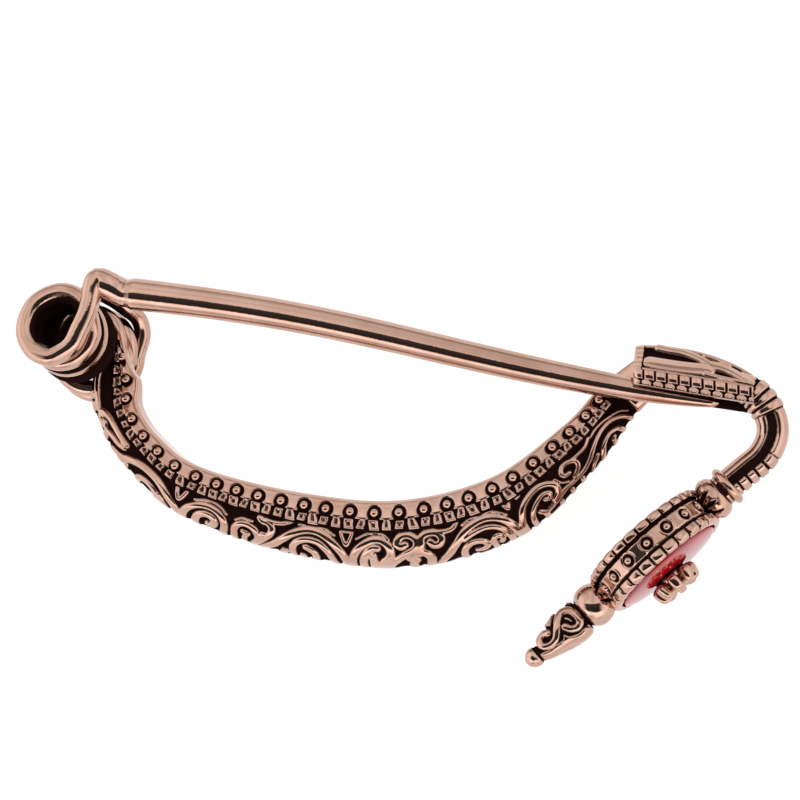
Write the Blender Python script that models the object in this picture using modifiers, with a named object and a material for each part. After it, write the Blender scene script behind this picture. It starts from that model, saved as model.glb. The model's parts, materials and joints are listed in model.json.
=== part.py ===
"""A bronze fibula (a brooch with a spring pin) as it lies on its side when loose.

The bow, the catch, the foot and its round setting are one casting. The spring is one wire, the pin is
the thick end of that wire, a red cabochon sits in the setting and a small rosette sits on the cabochon.
X runs from the spring to the foot, Y from the bow to the pin and Z up, across the brooch. The brooch is
modelled about the axis of its spring, and an empty then sets it on the ground with its box centred.
"""
import math

import bmesh
import bpy
from mathutils import Matrix, Vector

MM = 0.001

# Clearances between pieces that touch on the real brooch
GAP = 0.3 * MM

# Spring: one wire, wound in turns that widen and sink from the front of the coil to the back
WIRE_DIAMETER = 1.84 * MM
TURN_GAP = 0.08 * MM
FRONT_TURNS = 2
FRONT_COIL_RADIUS = 3.15 * MM
BACK_COIL_RADIUS = 4.25 * MM
COIL_DROP = 1.0 * MM
WIRE_STEP = 0.95 * MM

# Pin: a tapering rod with a slight sway, from the front of the spring down to the catch
PIN_DIAMETER = 3.4 * MM
PIN_SPARE = 2.2 * MM
PIN_TIP_SHARE = 0.27
PIN_SLOPE = math.radians(12.25)
PIN_ARCH = 0.42 * MM
PIN_SWAY = 0.46 * MM
PIN_LEAN = 4.1 * MM

# Bow: its reach and rise from the spring's axis and its greatest section
BOW_REACH = 61.0 * MM
BOW_RISE = 21.9 * MM
BOW_DEPTH = 6.8 * MM
BOW_WIDTH = 6.4 * MM
NECK_SHIFT = 1.4 * MM
NECK_WIDTH = 2.3 * MM
GRANULES = 26
GRANULE_RISE = 0.4 * MM

# Catch: the gutter that holds the pin's end, its crest above the pin and the lip in front of it
CATCH_LENGTH = 12.2 * MM
CATCH_BEYOND = 3.7 * MM
CATCH_WALL = 1.0 * MM
CATCH_CREST = 4.7 * MM
CREST_BULGE = 0.75 * MM
CATCH_HEM = 0.3 * MM
LIP_RISE = 0.2 * MM
LIP_WIDTH = 1.6 * MM
PIN_PLAY = 0.35 * MM

# Foot: the ribbed arm that turns back, the round setting on it, a bulb and the finial
FOOT_DROP = 8.45 * MM
ARM_DIAMETER = 3.25 * MM
ARM_GROOVE = 0.25 * MM
COLLAR_DIAMETER = 4.1 * MM
COLLARS_LENGTH = 4.5 * MM
SETTING_DIAMETER = 13.8 * MM
SETTING_DEPTH = 4.3 * MM
SETTING_LIP = 0.75 * MM
SEAT_DEPTH = 0.7 * MM
BULB_DIAMETER = 4.5 * MM
FINIAL_LENGTH = 7.6 * MM
FINIAL_DIAMETER = 4.3 * MM
STONE_RISE = 0.6 * MM
ROSETTE_DIAMETER = 5.4 * MM
ROSETTE_HEIGHT = 1.7 * MM
ROSETTE_SHIFT = 0.55 * MM
PETALS = 8
FLAT_SPOT = 0.1 * MM

# Places that follow from those sizes, with the spring's axis at the origin
PIN_LENGTH = BOW_REACH + PIN_SPARE
PITCH = WIRE_DIAMETER + TURN_GAP
BACK_HEIGHT = -SETTING_DIAMETER / 2 + FLAT_SPOT + WIRE_DIAMETER / 2
NECK_HEIGHT = -NECK_SHIFT
FIRST_HEIGHT = NECK_HEIGHT + NECK_WIDTH / 2 + GAP + WIRE_DIAMETER / 2 - 0.375 * PITCH
FRONT_HEIGHT = FIRST_HEIGHT + (FRONT_TURNS + 1.5) * PITCH
NECK_ANGLE = math.radians(14)


def material(name, colour, roughness, metallic):
    """Return a Principled material."""
    made = bpy.data.materials.new(name)
    made.use_nodes = True
    shader = made.node_tree.nodes["Principled BSDF"]
    shader.inputs["Base Color"].default_value = (*colour, 1)
    shader.inputs["Roughness"].default_value = roughness
    shader.inputs["Metallic"].default_value = metallic
    return made


def collection(name):
    """Return a new collection in the scene."""
    made = bpy.data.collections.new(name)
    bpy.context.scene.collection.children.link(made)
    return made


def object_from_bmesh(name, bm, home):
    """Turn a bmesh into an object with its faces pointing out."""
    bmesh.ops.recalc_face_normals(bm, faces=bm.faces)
    mesh = bpy.data.meshes.new(name)
    bm.to_mesh(mesh)
    bm.free()
    made = bpy.data.objects.new(name, mesh)
    home.objects.link(made)
    return made


def as_mesh(made):
    """Replace an object by the mesh that its curve or modifiers give."""
    shown = made.evaluated_get(bpy.context.evaluated_depsgraph_get())
    bm = bmesh.new()
    bm.from_mesh(shown.to_mesh())
    bmesh.ops.remove_doubles(bm, verts=bm.verts, dist=0.002 * MM)
    bmesh.ops.transform(bm, matrix=made.matrix_world, verts=bm.verts)
    name, home = made.name, made.users_collection[0]
    bpy.data.objects.remove(made)
    return object_from_bmesh(name, bm, home)


def smooth_path(points, step):
    """Return points at even steps along a smooth curve through the given ones."""
    ends = [2 * points[0] - points[1], *points, 2 * points[-1] - points[-2]]
    fine = [points[0]]
    for before, start, end, after in zip(ends, ends[1:], ends[2:], ends[3:]):
        for part in range(1, 13):
            t = part / 12
            fine.append(0.5 * (2 * start + (end - before) * t
                               + (2 * before - 5 * start + 4 * end - after) * t ** 2
                               + (3 * start - before - 3 * end + after) * t ** 3))
    lengths = [0]
    for start, end in zip(fine, fine[1:]):
        lengths.append(lengths[-1] + (end - start).length)
    count = max(2, round(lengths[-1] / step))
    even, place = [], 0
    for index in range(count + 1):
        wanted = lengths[-1] * index / count
        while place < len(fine) - 2 and lengths[place + 1] < wanted:
            place += 1
        share = (wanted - lengths[place]) / (lengths[place + 1] - lengths[place])
        even.append(fine[place].lerp(fine[place + 1], share))
    return even


def tube(name, points, radii, resolution, home):
    """Make a round rod along the points, with a radius at each."""
    curve = bpy.data.curves.new(name, "CURVE")
    curve.dimensions = "3D"
    curve.bevel_depth = 1
    curve.bevel_resolution = resolution
    curve.use_fill_caps = True
    spline = curve.splines.new("POLY")
    spline.points.add(len(points) - 1)
    for place, point, radius in zip(spline.points, points, radii):
        place.co = (*point, 1)
        place.radius = radius
    made = bpy.data.objects.new(name, curve)
    home.objects.link(made)
    return made


def turned(name, profile, start, direction, steps, home):
    """Turn a profile of (height, radius) pairs about a line from start, and return its mesh."""
    bm = bmesh.new()
    spots = [bm.verts.new((radius, 0, height)) for height, radius in reversed(profile)]
    for first, second in zip(spots, spots[1:]):
        bm.edges.new((first, second))
    mesh = bpy.data.meshes.new(name)
    bm.to_mesh(mesh)
    bm.free()
    made = bpy.data.objects.new(name, mesh)
    home.objects.link(made)
    screw = made.modifiers.new("Turn", "SCREW")
    screw.steps = steps
    screw.render_steps = steps
    screw.use_merge_vertices = True
    screw.merge_threshold = 0.02 * MM
    made.matrix_world = Matrix.Translation(start) @ direction.to_track_quat("Z", "Y").to_matrix().to_4x4()
    bpy.context.view_layer.update()
    return as_mesh(made)


def loft(name, rings, home):
    """Skin a row of rings that have the same number of points, and close both ends."""
    bm = bmesh.new()
    rows = [[bm.verts.new(point) for point in ring] for ring in rings]
    count = len(rings[0])
    for row, following in zip(rows, rows[1:]):
        for index in range(count):
            after = (index + 1) % count
            bm.faces.new((row[index], row[after], following[after], following[index]))
    bm.faces.new(rows[0])
    bm.faces.new(reversed(rows[-1]))
    return object_from_bmesh(name, bm, home)


def join(target, tools):
    """Melt the tools into the target with a Boolean union."""
    for tool in tools:
        union = target.modifiers.new("Union", "BOOLEAN")
        union.operation = "UNION"
        union.solver = "EXACT"
        union.object = tool
    target = as_mesh(target)
    for tool in tools:
        bpy.data.objects.remove(tool)
    return target


def coil_centre(height):
    """Return the centre of the coil's turn at a height."""
    share = (FRONT_HEIGHT - height) / (FRONT_HEIGHT - BACK_HEIGHT)
    return Vector((-0.6 * MM + COIL_DROP * share / 2, 0.4 * MM - COIL_DROP * share, height))


def coil_point(angle, height, extra=0.0):
    """Return the wire's centre at an angle and a height of the coil."""
    share = (FRONT_HEIGHT - height) / (FRONT_HEIGHT - BACK_HEIGHT)
    radius = FRONT_COIL_RADIUS + (BACK_COIL_RADIUS - FRONT_COIL_RADIUS) * share + extra
    return coil_centre(height) + radius * Vector((math.cos(angle), math.sin(angle), 0))


def ease(share):
    """Return a share of a move that starts and stops gently."""
    share = min(max(share, 0), 1)
    return share * share * (3 - 2 * share)


def back_turns():
    """Return the wire's points from the neck, once round, to the turn that lies on the ground."""
    second = BACK_HEIGHT + PITCH
    points = []
    for index in range(35):
        turn = index / 17
        if turn < 1:
            height = NECK_HEIGHT + (second - NECK_HEIGHT) * ease(turn / 0.75)
        else:
            height = second + (BACK_HEIGHT - second) * ease((turn - 1) * 2)
        points.append(coil_point(math.tau * turn + NECK_ANGLE * (1 - turn / 2), height))
    return points


def chord():
    """Return the wire's points over the top of the coil, from its back to its front turns."""
    rise = 2.05 * MM
    span = FIRST_HEIGHT - BACK_HEIGHT
    spots = [(24, 0.57, 0.05), (38, 0.93, 0.21), (50, 0.95, 0.48), (62, 1.0, 0.69),
             (76, 1.0, 0.87), (97, 0.5, 0.98), (131, 0.15, 1.0)]
    return [coil_point(math.radians(angle), BACK_HEIGHT + span * climb, rise * bulge)
            for angle, bulge, climb in spots]


def front_turns():
    """Return the wire's points round the turns in front of the neck."""
    count = round((FRONT_TURNS + 0.5) * 18)
    return [coil_point(math.pi + math.tau * index / 18, FIRST_HEIGHT + PITCH * index / 18)
            for index in range(count + 1)]


def loose_turn():
    """Return the wire's points round the frontmost turn, up past the coil and over to the pin."""
    start = FIRST_HEIGHT + (FRONT_TURNS + 0.5) * PITCH
    climb = FRONT_HEIGHT - start
    spots = [(50, 0.4, 0.1), (90, 0.65, 0.22), (135, 0.55, 0.36), (180, 0.4, 0.5), (220, 0.25, 0.62),
             (256, 0.1, 0.75), (279, -0.2, 0.82), (312, -0.35, 0.92), (349, -0.35, 0.98),
             (376, 0.5, 1.0), (393, 1.55, 1.0), (403, 2.55, 1.0)]
    points = [coil_point(math.radians(angle), start + climb * share, extra * MM)
              for angle, extra, share in spots]
    root = pin_point(0)
    backward = (root - pin_point(0.01)).normalized()
    end = root + backward * GAP
    return points + [end + Vector((-2.2, 1.45, 0.85)) * MM, end + Vector((-1.4, 1.1, 0.5)) * MM,
                     end + backward * 0.6 * MM, end]


def pin_point(share):
    """Return a point on the pin's centre line, from its root (0) to its tip (1)."""
    along = Vector((math.cos(PIN_SLOPE), -math.sin(PIN_SLOPE), 0))
    across = Vector((math.sin(PIN_SLOPE), math.cos(PIN_SLOPE), 0))
    start = coil_centre(FRONT_HEIGHT) + Vector((FRONT_COIL_RADIUS + 3.9 * MM, 3.4 * MM, -1.1 * MM))
    bend = PIN_ARCH * math.sin(math.pi * share) + PIN_SWAY * math.sin(math.tau * share)
    return start + along * PIN_LENGTH * share + across * bend - Vector((0, 0, PIN_LEAN * share))


def pin_radius(share):
    """Return the pin's radius, which narrows slowly and then fast near the tip."""
    shoulder = WIRE_DIAMETER / PIN_DIAMETER
    root = shoulder + (1 - shoulder) * ease(share / 0.02)
    return PIN_DIAMETER / 2 * min(root, 1 - 0.2 * share - (0.8 - PIN_TIP_SHARE) * share ** 9)


def make_pin(home):
    """The pin, a straight rod but for a slight sway, with a shoulder at its root."""
    shares = [0, 0.008, 0.016, 0.03] + [0.03 + 0.97 * index / 26 for index in range(1, 27)]
    rod = tube("pin", [pin_point(share) for share in shares], [pin_radius(share) for share in shares],
               3, home)
    return as_mesh(rod)


def make_spring(home):
    """The spring wire, from the neck round the coil and up to the pin's shoulder."""
    points = smooth_path(back_turns() + chord() + front_turns() + loose_turn(), WIRE_STEP)
    wire = tube("spring", points, [WIRE_DIAMETER / 2] * len(points), 2, home)
    return as_mesh(wire)


def bow_stations():
    """Return the bow's stations: centre, depth and width, from the neck to the catch."""
    neck = back_turns()[0] - Vector((0, GAP + 0.12 * MM, 0))
    foot = pin_point(catch_start())
    shares = [(0.056, 0.20, 1.0, 0.69, NECK_WIDTH / BOW_WIDTH), (0.066, 0.375, 0.8, 0.74, 0.55),
              (0.115, 0.566, 0.45, 0.74, 0.78), (0.207, 0.767, 0.15, 0.82, 0.94),
              (0.39, 0.932, 0, 0.94, 1), (0.582, 1, 0, 1, 1), (0.759, 0.886, 0, 0.96, 0.97),
              (0.885, 0.605, 0.3, 0.78, 0.66)]
    stations = [(neck, WIRE_DIAMETER, WIRE_DIAMETER),
                (Vector((neck.x + 0.1 * MM, -1.8 * MM, NECK_HEIGHT)), 0.42 * BOW_DEPTH, 0.9 * NECK_WIDTH)]
    for reach, rise, shift, depth, width in shares:
        place = Vector((BOW_REACH * reach, -BOW_RISE * rise, -NECK_SHIFT * shift))
        stations.append((place, BOW_DEPTH * depth, BOW_WIDTH * width))
    back = foot.z - pin_radius(catch_start()) - PIN_PLAY - CATCH_WALL
    stations.append((Vector((foot.x - 1.8 * MM, foot.y - 0.6 * MM, back - 0.5 * MM)), 0.68 * BOW_DEPTH,
                     0.45 * BOW_WIDTH))
    stations.append((Vector((foot.x + 1.6 * MM, foot.y + 2.2 * MM, back + CATCH_WALL / 2)), 0.6 * BOW_DEPTH,
                     0.8 * CATCH_WALL))
    return stations


def bow_frames(count):
    """Return (centre, outward direction, depth, width) at even steps along the bow."""
    stations = bow_stations()
    stretch = 10
    packed = smooth_path([station[0] for station in stations], 0.1 * MM)
    sizes = smooth_path([Vector((station[1], station[2], 0)) + Vector((0, 0, index * stretch * MM))
                         for index, station in enumerate(stations)], 0.1 * MM)
    marks = [min(range(len(packed)), key=lambda spot: (packed[spot] - station[0]).length)
             for station in stations]
    frames = []
    for index in range(count + 1):
        spot = round((len(packed) - 1) * index / count)
        part = max(place for place, mark in enumerate(marks) if mark <= spot or place == 0)
        part = min(part, len(marks) - 2)
        share = (spot - marks[part]) / (marks[part + 1] - marks[part])
        wanted = (part + share) * stretch * MM
        size = min(sizes, key=lambda candidate: abs(candidate.z - wanted))
        low, high = max(spot - 3, 0), min(spot + 3, len(packed) - 1)
        along = (packed[high] - packed[low]).normalized()
        outward = Vector((along.y, -along.x, 0)).normalized()
        frames.append((packed[spot], outward, size.x, size.y))
    return frames


# The bow's section: share of the depth from its inner edge, share of the half width
SECTION = [(0, 0.0), (0, 0.62), (0.06, 0.88), (0.15, 0.93), (0.4, 1.0), (0.5, 0.9), (0.56, 1.0),
           (0.72, 0.95), (0.86, 0.74), (0.96, 0.42), (1, 0.0)]

# The stretch of that section that carries the granules, counted from its inner edge
GRANULE_BAND = 3


def make_bow_body(home):
    """The bow itself: a tapering bar with a flat inner face and a row of granules on each side."""
    rings = []
    for centre, outward, depth, width in bow_frames(GRANULES * 2):
        inner = centre - outward * depth / 2
        side = [inner + outward * depth * share + Vector((0, 0, width / 2 * half)) for share, half in SECTION]
        other = [inner + outward * depth * share - Vector((0, 0, width / 2 * half))
                 for share, half in reversed(SECTION[1:-1])]
        rings.append(side + other)
    bow = loft("bow", rings, home)
    raise_granules(bow, len(rings), len(rings[0]))
    return bow


def raise_granules(bow, rings, sides):
    """Raise a boss in each second cell of the two granule bands."""
    bm = bmesh.new()
    bm.from_mesh(bow.data)
    bm.faces.ensure_lookup_table()
    bands = (GRANULE_BAND, sides - 1 - GRANULE_BAND)
    cells = [bm.faces[row * sides + column] for row in range(3, rings - 2, 2) for column in bands]
    bmesh.ops.inset_individual(bm, faces=cells, thickness=0.22 * MM, depth=0)
    for cell in cells:
        bmesh.ops.translate(bm, verts=cell.verts, vec=cell.normal * GRANULE_RISE)
    bm.to_mesh(bow.data)
    bm.free()


def catch_start():
    """Return the share of the pin's length at which the catch starts."""
    return 1 - (CATCH_LENGTH - CATCH_BEYOND) / PIN_LENGTH


def make_catch(home):
    """The catch: a gutter open towards the bow, with a broad sloping back and a narrow front lip."""
    start = catch_start()
    slot = pin_radius(start) + PIN_PLAY
    back = pin_point(start).z - slot - CATCH_WALL
    rings = []
    for index in range(7):
        share = index / 6
        centre = pin_point(start + CATCH_LENGTH / PIN_LENGTH * share)
        crest = CATCH_CREST * (1 - 0.28 * share ** 3) + CREST_BULGE * math.sqrt(abs(math.sin(math.pi * share)))
        lip = centre.z + slot + CATCH_WALL
        outline = [(back, -CATCH_HEM), (back + CATCH_WALL, -CATCH_HEM), (back + CATCH_WALL, 0.7 * slot),
                   (back + CATCH_WALL + 0.4 * slot, slot), (lip - CATCH_WALL - 0.4 * slot, slot),
                   (lip - CATCH_WALL, 0.7 * slot), (lip - CATCH_WALL, LIP_RISE), (lip, LIP_RISE),
                   (lip, LIP_RISE + LIP_WIDTH), (back + CATCH_WALL + 0.2 * slot, 0.97 * crest),
                   (back + 0.7 * CATCH_WALL, crest), (back, 0.9 * crest)]
        rings.append([Vector((centre.x, centre.y + rise, height)) for height, rise in outline])
    return loft("catch", rings, home)


def foot_line():
    """Return the start of the foot's straight part and its direction."""
    tip = pin_point(1)
    return Vector((tip.x + 0.02 * FOOT_DROP, tip.y - FOOT_DROP, 0)), Vector((-0.76, -0.65, 0)).normalized()


def make_arm(home):
    """The arm that turns back from the catch, with a groove along each side."""
    start, direction = foot_line()
    tip = pin_point(1)
    upper = [(0.2, 0.225, -0.12), (0.425, 0.105, -0.13), (0.58, -0.12, -0.16)]
    lower = [(0.59, 0.64, 0), (0.475, 0.39, 0), (0.26, 0.207, 0)]
    points = [tip + Vector(spot) * FOOT_DROP for spot in upper]
    points += [start + Vector(spot) * FOOT_DROP for spot in lower]
    points += [start, start + direction * COLLARS_LENGTH / 3]
    path = smooth_path(points, 1.0 * MM)
    rings = []
    for index, point in enumerate(path):
        along = (path[min(index + 1, len(path) - 1)] - path[max(index - 1, 0)]).normalized()
        outward = Vector((along.y, -along.x, 0)).normalized()
        upward = along.cross(outward)
        ring = []
        for step in range(16):
            angle = math.tau * step / 16
            groove = ARM_GROOVE if step in (5, 11) else 0
            radius = ARM_DIAMETER / 2 - groove
            ring.append(point + radius * (outward * math.cos(angle) + upward * math.sin(angle)))
        rings.append(ring)
    return loft("arm", rings, home)


def make_collars(home):
    """The collar ring and the bulb above the setting."""
    start, direction = foot_line()
    profile = [(-0.24, 0), (-0.24, 0.6), (-0.19, 0.96), (-0.11, 1.05), (-0.03, 0.96), (0.01, 0.8),
               (0.06, 0.78), (0.12, 0.94), (0.22, 1.06), (0.33, 1.1), (0.44, 1.02), (0.54, 0.82), (0.62, 0.64),
               (0.73, 0.55), (0.73, 0)]
    return turned("collars", [(place * COLLARS_LENGTH, share * COLLAR_DIAMETER / 2)
                              for place, share in profile], start, direction, 20, home)


def setting_centre():
    """Return the middle of the round setting, clear of the collars above it."""
    start, direction = foot_line()
    return start + direction * (SETTING_DIAMETER / 2 + 0.52 * COLLARS_LENGTH)


def setting_axis():
    """Return the direction in which the setting faces."""
    direction = foot_line()[1]
    return Vector((-direction.y, direction.x, 0))


def make_setting(home):
    """The round setting: a drum with a rim at each end and a seat for the cabochon in its face."""
    radius = SETTING_DIAMETER / 2
    half = SETTING_DEPTH / 2
    rim = 0.17 * SETTING_DEPTH
    waist = radius - 0.35 * MM
    seat = radius - SETTING_LIP
    profile = [(-half - 0.3 * MM, 0), (-half - 0.1 * MM, 0.55 * radius), (-half, 0.9 * radius),
               (-half + 0.15 * MM, radius - 0.15 * MM), (-half + 0.5 * rim, radius),
               (-half + rim, radius - 0.1 * MM), (-half + 1.2 * rim, waist), (half - 1.2 * rim, waist),
               (half - rim, radius - 0.1 * MM), (half - 0.5 * rim, radius), (half, radius - 0.2 * MM),
               (half, seat), (half - SEAT_DEPTH, seat), (half - SEAT_DEPTH, 0)]
    return turned("setting", profile, setting_centre(), setting_axis(), 36, home)


def make_finial(home):
    """The smooth bulb below the setting and the finial that tapers to a bud."""
    start = setting_centre()
    direction = foot_line()[1]
    edge = SETTING_DIAMETER / 2 - 1.2 * MM
    bulb = BULB_DIAMETER / 2
    width = FINIAL_DIAMETER / 2
    middle = edge + 1.0 * MM + bulb * 0.72
    root = middle + bulb * 0.6
    profile = [(edge, 0), (edge, 0.6 * bulb)]
    for step in range(7):
        angle = math.radians(30 + 20 * step)
        reach = 0.95 if step < 3 else 0.72
        profile.append((middle - reach * bulb * math.cos(angle), bulb * math.sin(angle) ** 0.8))
    for place, share in [(0.06, 0.8), (0.12, 1), (0.3, 0.95), (0.55, 0.72), (0.75, 0.5), (0.82, 0.4),
                         (0.88, 0.46), (0.95, 0.38), (1, 0)]:
        profile.append((root + FINIAL_LENGTH * place, width * share))
    return turned("finial", profile, start, direction, 20, home)


def make_casting(home, tools):
    """Join the bow, catch, foot and setting into one casting and flatten the spot that it lies on."""
    bow = make_bow_body(home)
    bow = join(bow, [make_catch(tools), make_arm(tools), make_collars(tools), make_setting(tools),
                     make_finial(tools)])
    ground = BACK_HEIGHT - WIRE_DIAMETER / 2
    bm = bmesh.new()
    bm.from_mesh(bow.data)
    below = bmesh.ops.bisect_plane(bm, geom=bm.verts[:] + bm.edges[:] + bm.faces[:], dist=0.001 * MM,
                                   plane_co=(0, 0, ground), plane_no=(0, 0, -1), clear_outer=True)
    rim = [edge for edge in below["geom_cut"] if isinstance(edge, bmesh.types.BMEdge)]
    bmesh.ops.holes_fill(bm, edges=rim, sides=0)
    bm.to_mesh(bow.data)
    bm.free()
    return bow


def stone_radius(height):
    """Return the cabochon's radius at a share of its height."""
    return math.sqrt(max(0, 1 - height ** 2)) ** 0.9


def make_stone(home):
    """The red cabochon, a low dome in its seat."""
    radius = SETTING_DIAMETER / 2 - SETTING_LIP - GAP
    base = SETTING_DEPTH / 2 - SEAT_DEPTH + GAP
    wall = SEAT_DEPTH - GAP + 0.1 * MM
    profile = [(base, 0), (base, radius)]
    for step in range(7):
        height = step / 6
        profile.append((base + wall + STONE_RISE * height, radius * stone_radius(height)))
    return turned("cabochon", profile, setting_centre(), setting_axis(), 32, home)


def make_rosette(home):
    """The rosette on the cabochon: a ring of round petals about a raised heart."""
    axis = setting_axis()
    centre = setting_centre() + axis * (SETTING_DEPTH / 2 + 0.1 * MM + STONE_RISE + GAP)
    centre += foot_line()[1] * ROSETTE_SHIFT
    across = Vector((0, 0, 1))
    side = axis.cross(across)
    steps = PETALS * 6
    layers = [(0, 0.8, 0.1), (0.25, 0.92, 0.16), (0.5, 0.86, 0.2), (0.7, 0.6, 0.22), (0.62, 0.4, 0.04),
              (0.9, 0.34, 0), (1, 0.18, 0)]
    rings = []
    for height, share, lobe in layers:
        ring = []
        for step in range(steps):
            angle = math.tau * step / steps
            wave = abs(math.cos(angle * PETALS / 2)) - 0.6
            radius = ROSETTE_DIAMETER / 2 * (share + lobe * wave)
            ring.append(centre + axis * ROSETTE_HEIGHT * height
                        + radius * (across * math.cos(angle) + side * math.sin(angle)))
        rings.append(ring)
    return loft("rosette", rings, home)


def finish(made, coat):
    """Give a piece its material and smooth its round faces."""
    made.data.materials.append(coat)
    made.data.shade_smooth()
    made.data.set_sharp_from_angle(angle=math.radians(40))


def set_on_ground(pieces):
    """Parent the pieces to an empty that centres their box on the origin, with its bottom at zero."""
    corners = [piece.matrix_world @ vertex.co for piece in pieces for vertex in piece.data.vertices]
    low = Vector([min(corner[axis] for corner in corners) for axis in range(3)])
    high = Vector([max(corner[axis] for corner in corners) for axis in range(3)])
    stand = bpy.data.objects.new("fibula_axis", None)
    bpy.context.scene.collection.objects.link(stand)
    stand.location = (-(low.x + high.x) / 2, -(low.y + high.y) / 2, -low.z)
    for piece in pieces:
        piece.parent = stand


def main():
    """Build the fibula."""
    for old in list(bpy.data.objects):
        bpy.data.objects.remove(old)
    home = collection("fibula")
    tools = collection("joined shapes")
    bronze = material("bronze", (0.62, 0.36, 0.26), 0.25, 1)
    red = material("red stone", (0.35, 0.01, 0.02), 0.08, 0)
    pieces = [make_casting(home, tools), make_spring(home), make_pin(home), make_stone(home),
              make_rosette(home)]
    for piece in pieces:
        finish(piece, red if piece.name == "cabochon" else bronze)
    set_on_ground(pieces)


main()
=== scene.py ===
"""A bronze fibula lying on its side, with its carved ornament, its dark patina and its red cabochon."""
import json
import math

import bmesh
import bpy
import numpy as np
from mathutils import Matrix, Vector


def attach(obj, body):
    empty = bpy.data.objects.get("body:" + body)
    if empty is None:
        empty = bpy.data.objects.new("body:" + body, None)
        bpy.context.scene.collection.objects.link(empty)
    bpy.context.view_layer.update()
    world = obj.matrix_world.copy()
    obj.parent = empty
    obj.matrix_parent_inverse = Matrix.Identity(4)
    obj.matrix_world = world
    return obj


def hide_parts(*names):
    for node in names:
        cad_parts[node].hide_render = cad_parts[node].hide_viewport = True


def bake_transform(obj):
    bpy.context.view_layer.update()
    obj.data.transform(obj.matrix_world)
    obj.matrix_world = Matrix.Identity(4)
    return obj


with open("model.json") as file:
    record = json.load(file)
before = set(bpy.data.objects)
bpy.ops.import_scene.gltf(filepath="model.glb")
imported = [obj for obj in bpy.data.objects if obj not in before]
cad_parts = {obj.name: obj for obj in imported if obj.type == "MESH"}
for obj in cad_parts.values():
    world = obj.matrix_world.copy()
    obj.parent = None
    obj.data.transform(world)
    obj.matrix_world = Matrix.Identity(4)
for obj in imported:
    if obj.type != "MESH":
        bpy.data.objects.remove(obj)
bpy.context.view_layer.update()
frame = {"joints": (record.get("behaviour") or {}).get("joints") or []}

# The picture: the brooch lies on a pale table and is seen from above, upright in the frame.
# The spring's axis is the place that everything on the brooch is measured from.
MM = 0.001
AXIS = Vector(frame["joints"][0]["pos_m"])
AIM = AXIS + Vector((35.1, -7.75, 0)) * MM
EYE = AIM + Vector((51.5, -39.6, 229.2)) * MM
FOCAL_LENGTH = 102.9

forward = (AIM - EYE).normalized()
rightward = forward.cross(Vector((0, 1, 0))).normalized()
camera = bpy.data.objects.new("camera", bpy.data.cameras.new("camera"))
camera.data.lens = FOCAL_LENGTH
camera.data.clip_start = 10 * MM
camera.matrix_world = (Matrix.Translation(EYE)
                       @ Matrix((rightward, rightward.cross(forward), -forward)).transposed().to_4x4())
bpy.context.scene.collection.objects.link(camera)
bpy.context.scene.camera = camera

# The table is a glowing white sheet, as on a light table. The studio's light comes from all round: a wide
# softbox on the near side, a dark stretch of ceiling above it and a paler wall on the far side.
TABLE_WIDTH = 1.6
TABLE_GREY = 0.26
TABLE_GLOW = 0.88
# Each stop: degrees from straight up towards the near side, and how bright the room is there
ROOM_LIGHT = ((-120, 0.45), (-84, 0.6), (-52, 0.85), (-25, 1.1), (-10, 1.25), (-4, 1.2), (0, 0.06),
              (42, 0.03), (48, 1.6), (60, 1.9), (72, 1.5), (84, 1.0), (100, 0.6), (120, 0.45))
ROOM_START = ROOM_LIGHT[0][0]
ROOM_SPAN = ROOM_LIGHT[-1][0] - ROOM_START
# The ramp holds this share of the light, because its greys end at 1. The clouds' strength makes up for it.
RAMP_SHARE = 0.5
SIDE_START = 0.55
SIDE_END = 0.9
SIDE_LIGHT = 1.5
CLOUD_LIGHT = 3.4
LEAST_LIGHT = 0.35


class Shade:
    """A socket of a node tree: arithmetic on it adds Math nodes, and any other node comes from node."""

    def __init__(self, tree, socket=None):
        self.tree = tree
        self.socket = socket

    def node(self, kind, settings=None, *values, **named):
        """Add a node, make its settings, feed its sockets and return its outputs by name."""
        made = self.tree.nodes.new(kind)
        for name, value in (settings or {}).items():
            if name == "stops":
                set_stops(made.color_ramp.elements, value)
            else:
                setattr(made, name, value)
        for place, value in zip(made.inputs, values):
            feed(place, value)
        for name, value in named.items():
            wanted = name.replace("_", " ")
            feed(next(place for place in made.inputs if place.name == wanted and place.enabled), value)
        return {socket.name: Shade(self.tree, socket) for socket in made.outputs if socket.enabled}

    def math(self, operation, *others):
        """Return this socket and the others put through one Math node."""
        return self.node("ShaderNodeMath", {"operation": operation}, self, *others)["Value"]

    def __add__(self, other):
        return self.math("ADD", other)

    __radd__ = __add__

    def __sub__(self, other):
        return self.math("SUBTRACT", other)

    def __rsub__(self, other):
        return (self * -1).math("ADD", other)

    def __mul__(self, other):
        return self.math("MULTIPLY", other)

    __rmul__ = __mul__

    def clamp(self, low, high):
        """Return 0 below low, 1 above high and a smooth rise between."""
        return self.node("ShaderNodeMapRange", {"interpolation_type": "SMOOTHSTEP"},
                         Value=self, From_Min=low, From_Max=high)["Result"]

    def mix(self, low, high):
        """Return the first colour where this is 0 and the second where it is 1."""
        return self.node("ShaderNodeMix", {"data_type": "RGBA"}, Factor=self, A=low, B=high)["Result"]

    def noise(self, scale, detail):
        """Return a cloudy pattern on this vector."""
        return self.node("ShaderNodeTexNoise", Vector=self, Scale=scale, Detail=detail)["Fac"]


def feed(place, value):
    """Link a shade to a socket, or set the socket to a plain value."""
    if isinstance(value, Shade):
        value.tree.links.new(value.socket, place)
    elif isinstance(value, tuple) and place.type == "RGBA":
        place.default_value = (*value, 1)
    else:
        place.default_value = value


def set_stops(elements, stops):
    """Give a colour ramp its stops, each a place and a grey."""
    while len(elements) < len(stops):
        elements.new(0.5)
    for element, (place, grey) in zip(elements, stops):
        element.position = place
        element.color = (grey, grey, grey, 1)


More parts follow.
